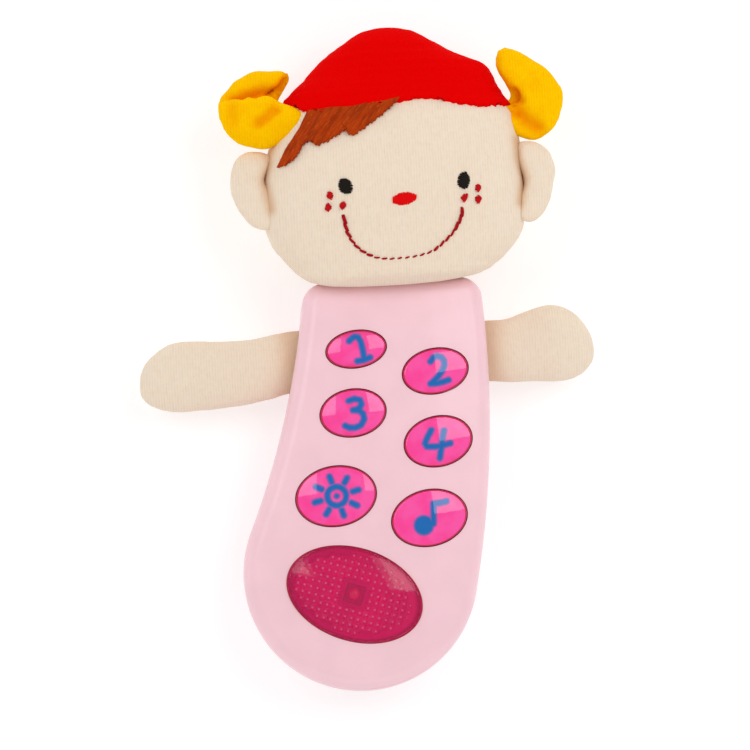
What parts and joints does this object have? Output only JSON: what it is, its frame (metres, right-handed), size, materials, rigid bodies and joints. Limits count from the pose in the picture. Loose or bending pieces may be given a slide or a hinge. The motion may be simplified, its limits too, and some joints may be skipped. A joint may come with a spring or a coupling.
{
  "type": "toy phone",
  "caption": "Toy phone: plastic handset with press keys and a domed lamp lens, a stuffed rag-doll head with hat and horns, and two stuffed arms.",
  "frame": {"origin": "on the flat rear face, at half of the handset's height, in line with the middle of its upper part", "axes": "+Z out of the keypad face, +Y toward the head, +X to the right of the keypad"},
  "size_m": [0.1444, 0.2058, 0.0509],
  "materials": {
    "shell_pink": "satin moulded ABS",
    "key_pink": "glossy translucent, printed in blue",
    "lens_magenta": "glossy translucent",
    "reflector_magenta": "prismatic, glossy",
    "led_clear_red": "translucent",
    "velour_cream": "stretch velour with fine ribs",
    "velour_red": "velour",
    "velour_yellow": "velour",
    "felt_brown": "felt",
    "thread_dark": "satin stitch",
    "thread_red": "satin stitch",
    "stuffing_white": "loose polyester fibre",
    "board_green": "solder-masked laminate",
    "silicone_white": "matt",
    "resin_black": "matt",
    "steel": "zinc plated",
    "cell_wrap": "satin film",
    "speaker_steel": "satin",
    "cone_paper": "matt",
    "foam_black": "matt",
    "wire_red": "satin",
    "wire_black": "satin",
    "plastic_white": "moulded"
  },
  "bodies": {
    "handset": {"arm_left_anchor": "plastic_white", "arm_right_anchor": "plastic_white", "battery_cells": "cell_wrap", "battery_lead_black": "wire_black", "battery_lead_red": "wire_red", "board_components": "resin_black", "board_screws": "steel", "case_screws": "steel", "chip_blob": "resin_black", "circuit_board": "board_green", "contact_plates": "steel", "contact_springs": "steel", "front_shell": "shell_pink", "key_membrane": "silicone_white", "led": "led_clear_red", "led_holder": "reflector_magenta", "lens": "lens_magenta", "neck_plate": "plastic_white", "neck_sleeve": "velour_cream", "rear_shell": "shell_pink", "reflector": "reflector_magenta", "speaker_basket": "speaker_steel", "speaker_cone": "cone_paper", "speaker_gasket": "foam_black", "speaker_leads": "wire_red", "speaker_magnet": "speaker_steel"},
    "battery_door": {"battery_door": "shell_pink", "battery_door_screw": "steel"},
    "head": {"head_cover": "velour_cream", "head_stuffing": "stuffing_white", "hat": "velour_red", "hair": "felt_brown", "embroidered_eyes": "thread_dark", "embroidered_nose": "thread_red", "embroidered_mouth": "thread_red", "embroidered_freckles": "thread_red", "ear_left": "velour_cream", "ear_right": "velour_cream", "horn_left": "velour_yellow", "horn_right": "velour_yellow"},
    "arm_left": {"arm_left_cover": "velour_cream", "arm_left_stuffing": "stuffing_white"},
    "arm_right": {"arm_right_cover": "velour_cream", "arm_right_stuffing": "stuffing_white"},
    "key_1": {"key_1": "key_pink"},
    "key_2": {"key_2": "key_pink"},
    "key_3": {"key_3": "key_pink"},
    "key_4": {"key_4": "key_pink"},
    "key_note": {"key_note": "key_pink"},
    "key_sun": {"key_sun": "key_pink"}
  },
  "joints": [
    {"name": "key_1_press", "type": "slide", "parent": "handset", "child": "key_1", "axis": [0, 0, -1], "range_m": [0, 0.0015], "stiffness_N_per_m": 1000, "springref_m": -0.0003, "deforming": ["key_membrane"]},
    {"name": "key_2_press", "type": "slide", "parent": "handset", "child": "key_2", "axis": [0, 0, -1], "range_m": [0, 0.0015], "stiffness_N_per_m": 1000, "springref_m": -0.0003, "deforming": ["key_membrane"]},
    {"name": "key_3_press", "type": "slide", "parent": "handset", "child": "key_3", "axis": [0, 0, -1], "range_m": [0, 0.0015], "stiffness_N_per_m": 1000, "springref_m": -0.0003, "deforming": ["key_membrane"]},
    {"name": "key_4_press", "type": "slide", "parent": "handset", "child": "key_4", "axis": [0, 0, -1], "range_m": [0, 0.0015], "stiffness_N_per_m": 1000, "springref_m": -0.0003, "deforming": ["key_membrane"]},
    {"name": "key_note_press", "type": "slide", "parent": "handset", "child": "key_note", "axis": [0, 0, -1], "range_m": [0, 0.0015], "stiffness_N_per_m": 1000, "springref_m": -0.0003, "deforming": ["key_membrane"]},
    {"name": "key_sun_press", "type": "slide", "parent": "handset", "child": "key_sun", "axis": [0, 0, -1], "range_m": [0, 0.0015], "stiffness_N_per_m": 1000, "springref_m": -0.0003, "deforming": ["key_membrane"]},
    {"name": "head_nod", "type": "hinge", "parent": "handset", "child": "head", "pos_m": [0, 0.066, 0.016], "axis": [1, 0, 0], "range_deg": [-10, 10], "stiffness_Nm_per_rad": 1},
    {"name": "arm_left_swing", "type": "hinge", "parent": "handset", "child": "arm_left", "pos_m": [-0.031, 0.041, 0.015], "axis": [0, 0, 1], "range_deg": [-20, 20], "stiffness_Nm_per_rad": 0.1},
    {"name": "arm_right_swing", "type": "hinge", "parent": "handset", "child": "arm_right", "pos_m": [0.0294, 0.0418, 0.015], "axis": [0, 0, 1], "range_deg": [-20, 20], "stiffness_Nm_per_rad": 0.1},
    {"name": "battery_door_open", "type": "hinge", "parent": "handset", "child": "battery_door", "pos_m": [-0.014, -0.049, 0], "axis": [1, 0, 0], "range_deg": [-60, 0]}
  ]
}
